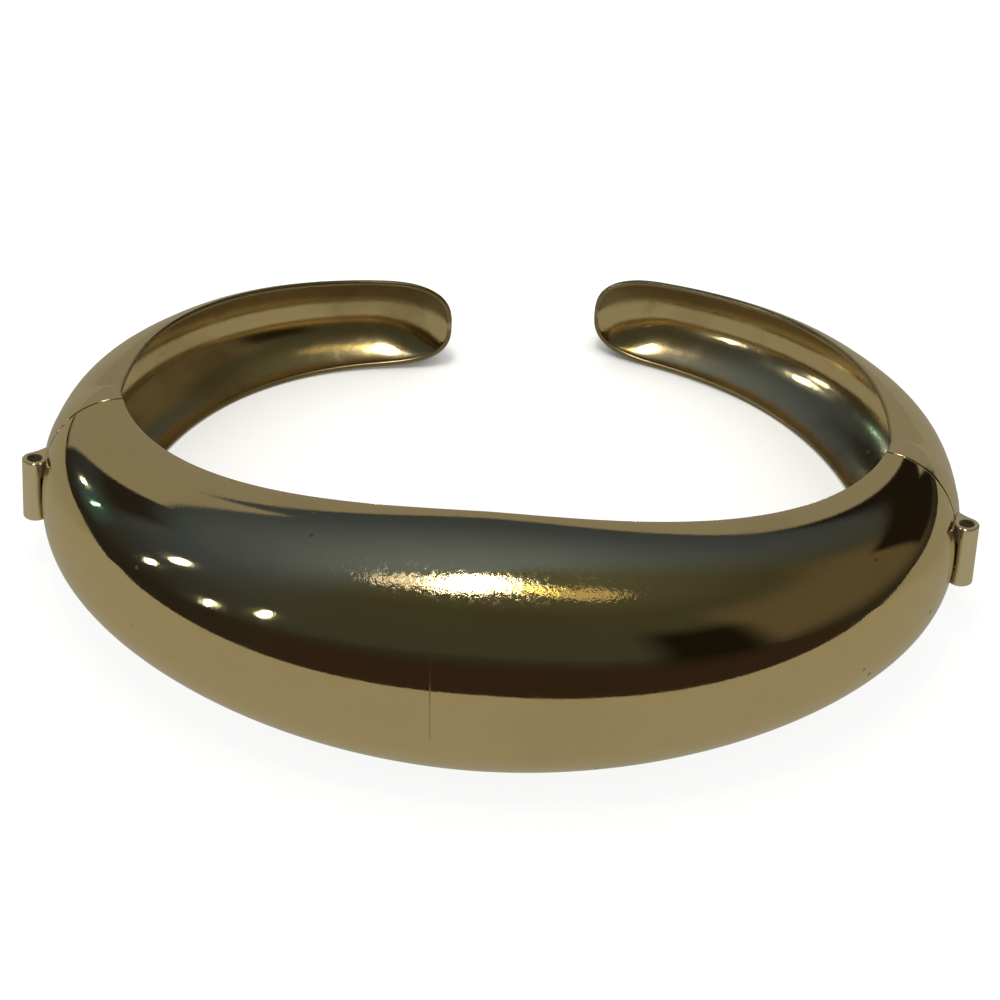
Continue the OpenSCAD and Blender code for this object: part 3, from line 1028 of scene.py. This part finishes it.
class StageOperator(bpy.types.Operator):
    """Sets the pale floor, the soft light and the camera"""

    bl_idname = "bangle.stage"
    bl_label = "Stage"

    def execute(self, context):
        self.floor(context)
        self.light(context)
        self.camera(context)
        return {"FINISHED"}

    def floor(self, context):
        """The white floor, and the pale one that only the brass reflects."""
        shade = context.scene.bangle_stage.floor
        wide = flat_piece("floor", (-FLOOR_HALF, -FLOOR_HALF), (FLOOR_HALF, FLOOR_HALF),
                          floor_material("floor_white", shade))
        wide.visible_glossy = False
        pale = flat_piece("floor_in_reflections", PALE_LOW, PALE_HIGH,
                          pale_material("floor_pale"), PALE_PARTS)
        for v in pale.data.vertices:
            if v.co.y < 0:
                v.co.y += PALE_BEND * (math.hypot(v.co.x, PALE_ROUND) - PALE_ROUND)
        pale.visible_camera = False
        pale.visible_diffuse = False
        pale.visible_shadow = False

    def light(self, context):
        """The room, the lamp overhead and the small bright windows."""
        world = bpy.data.worlds.new("studio")
        context.scene.world = world
        world.use_nodes = True
        n = Nodes(world.node_tree)
        seen, dull = n.make("ShaderNodeLightPath", output=("Is Camera Ray", "Is Diffuse Ray"))
        shade = n.mix(dull, self.room(n), FLOOR_LIGHT)
        shade = n.mix(seen, shade, (1.0, 1.0, 1.0))
        back = n.make("ShaderNodeBackground", None, {"Color": shade, "Strength": 1.0})
        n.make("ShaderNodeOutputWorld", None, {"Surface": back})
        for k, (az, el, wide, tall, power, tint) in enumerate(OVERHEAD):
            lamp(f"overhead_{k}", sky_direction(az, el), (wide, tall), power, tint)
        for k, (az, el, wide, tall, (power, tint)) in enumerate(WINDOWS):
            lamp(f"window_{k}", sky_direction(az, el), (wide, tall), power * wide * tall, tint)

    def room(self, n):
        """The dim room that the brass reflects, as a colour by direction."""
        x, y, up = n.parts(n.make("ShaderNodeTexCoord"))
        height = up.apply("ARCSINE") * IN_DEGREES

        def aside(azimuth):
            c, t = math.cos(math.radians(azimuth)), math.sin(math.radians(azimuth))
            turn = (x * c + y * t).apply("ARCTAN2", x * t - y * c) * IN_DEGREES
            return turn.apply("ABSOLUTE")

        skies = [n.make("ShaderNodeValToRGB", {"stops": stops}, {"Fac": height / 90})
                 for stops in (OLIVE_SKY, BLUE_SKY)]
        room = n.mix(aside(OLIVE_MIDDLE).step(OLIVE_EDGE, BLUE_EDGE), *skies)
        for az, el, half_w, half_h, soft, tint in ROOM_PARTS:
            across = 1 - aside(az).step(half_w - soft, half_w + soft)
            beside = (height - el).apply("ABSOLUTE").step(half_h - soft, half_h + soft)
            room = n.mix(across * (1 - beside), room, tint)
        return room

    def camera(self, context):
        """The camera at the photograph's angle, turned and rolled a little."""
        s, z = context.scene.bangle_stage, context.scene.bangle_sizes
        away = Vector((math.sin(s.azimuth) * math.cos(s.elevation),
                       -math.cos(s.azimuth) * math.cos(s.elevation), math.sin(s.elevation)))
        look = -away.normalized()
        right = look.cross(Vector((0, 0, 1))).normalized()
        up = right.cross(look)
        look, right = spun(look, right, s.pan)
        look, up = spun(look, up, s.tilt)
        right, up = spun(right, up, s.roll)
        turn = Matrix((right, up, -look)).transposed().to_4x4()
        data = bpy.data.cameras.new("camera")
        data.sensor_width = SENSOR_W
        data.lens = s.focal
        data.clip_start = SEE_FROM
        obj = bpy.data.objects.new("camera", data)
        context.scene.collection.objects.link(obj)
        obj.matrix_world = resting(z) @ Matrix.Translation(away * s.distance) @ turn
        context.scene.camera = obj
        context.scene.view_settings.view_transform = "Standard"


class BanglePanel(bpy.types.Panel):
    """The bangle's sizes, finish and steps in the sidebar"""

    bl_idname = "VIEW3D_PT_bangle"
    bl_label = "Hinged bangle"
    bl_space_type = "VIEW_3D"
    bl_region_type = "UI"
    bl_category = "Bangle"

    def draw(self, context):
        for group in ("bangle_sizes", "bangle_finish", "bangle_stage"):
            data = getattr(context.scene, group)
            column = self.layout.column(align=True)
            for name in data.__annotations__:
                column.prop(data, name)
        for step in STEPS:
            self.layout.operator(step.bl_idname)


GROUPS = {"bangle_sizes": BangleSizes, "bangle_finish": BangleFinish, "bangle_stage": BangleStage}
STEPS = (FrontOperator, ArmsOperator, BarrelsOperator, PinsOperator, StageOperator)
CLASSES = (*GROUPS.values(), *STEPS, BanglePanel)


def register():
    for cls in CLASSES:
        bpy.utils.register_class(cls)
    for name, group in GROUPS.items():
        setattr(bpy.types.Scene, name, bpy.props.PointerProperty(type=group))


def unregister():
    for name in GROUPS:
        delattr(bpy.types.Scene, name)
    for cls in reversed(CLASSES):
        bpy.utils.unregister_class(cls)


def main():
    """Registers the add-on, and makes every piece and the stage."""
    register()
    bpy.ops.bangle.front()
    bpy.ops.bangle.arms()
    bpy.ops.bangle.barrels()
    bpy.ops.bangle.pins()
    bpy.ops.bangle.stage()
    bpy.context.view_layer.update()


if __name__ == "__main__":
    main()
